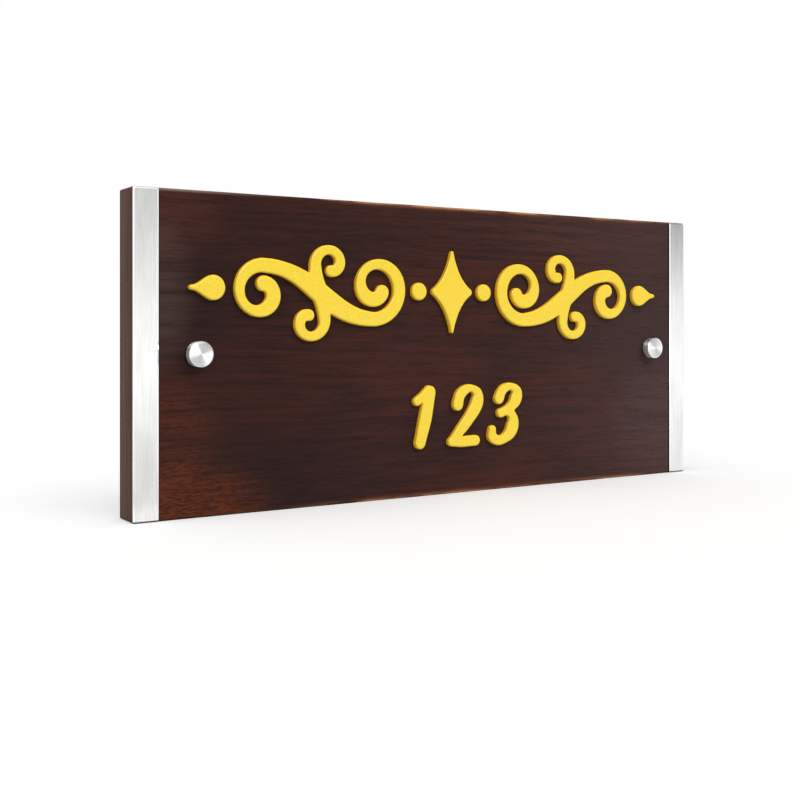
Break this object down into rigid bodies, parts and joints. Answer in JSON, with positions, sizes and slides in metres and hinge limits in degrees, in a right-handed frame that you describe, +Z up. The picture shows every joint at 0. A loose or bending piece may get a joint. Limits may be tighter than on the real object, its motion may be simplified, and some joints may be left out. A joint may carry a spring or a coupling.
{
  "type": "name plate",
  "caption": "Wooden name plate with steel end strips, raised scroll ornament and number, and stand-off studs whose caps unscrew to fix it to a wall.",
  "frame": {"origin": "middle of the board's bottom edge", "axes": "+X along the board to the right as seen from the front, +Y from front to back, +Z up"},
  "size_m": [0.348, 0.0432, 0.1524],
  "materials": {
    "stained_wood": "dark mahogany stain under satin lacquer, edges rubbed to warm brown",
    "brushed_steel": "brushed along its length, bevelled bright edges",
    "foam_tape": "thin dark mounting tape",
    "yellow_paint": "satin yellow, softly rounded edges, fine speckle",
    "spun_steel": "spun rings on the face, polished chamfer",
    "thread_steel": "plain cut thread",
    "washer_rubber": "soft black washer"
  },
  "bodies": {
    "board": {"board": "stained_wood", "left_end_strip": "brushed_steel", "right_end_strip": "brushed_steel", "left_strip_tape": "foam_tape", "right_strip_tape": "foam_tape", "ornament_lozenge": "yellow_paint", "ornament_left_bead": "yellow_paint", "ornament_right_bead": "yellow_paint", "ornament_left_scroll": "yellow_paint", "ornament_right_scroll": "yellow_paint", "ornament_left_leaf": "yellow_paint", "ornament_right_leaf": "yellow_paint", "digit_1": "yellow_paint", "digit_2": "yellow_paint", "digit_3": "yellow_paint", "left_barrel": "spun_steel", "right_barrel": "spun_steel", "left_rear_washer": "washer_rubber", "right_rear_washer": "washer_rubber"},
    "left_washer": {"left_front_washer": "washer_rubber"},
    "left_cap": {"left_cap": "spun_steel", "left_stem": "thread_steel"},
    "right_washer": {"right_front_washer": "washer_rubber"},
    "right_cap": {"right_cap": "spun_steel", "right_stem": "thread_steel"}
  },
  "joints": [
    {"name": "left_cap_travel", "type": "slide", "parent": "board", "child": "left_washer", "axis": [0, -1, 0], "range_m": [0, 0.01]},
    {"name": "left_cap_turn", "type": "hinge", "parent": "left_washer", "child": "left_cap", "pos_m": [-0.143, 0, 0.0762], "axis": [0, -1, 0], "range_deg": [0, 2880]},
    {"name": "right_cap_travel", "type": "slide", "parent": "board", "child": "right_washer", "axis": [0, -1, 0], "range_m": [0, 0.01]},
    {"name": "right_cap_turn", "type": "hinge", "parent": "right_washer", "child": "right_cap", "pos_m": [0.1458, 0, 0.0762], "axis": [0, -1, 0], "range_deg": [0, 2880]}
  ],
  "couplings": [
    {"joint": "left_cap_travel", "follows": "left_cap_turn", "m_per_rad": 0.00019894},
    {"joint": "right_cap_travel", "follows": "right_cap_turn", "m_per_rad": 0.00019894}
  ]
}
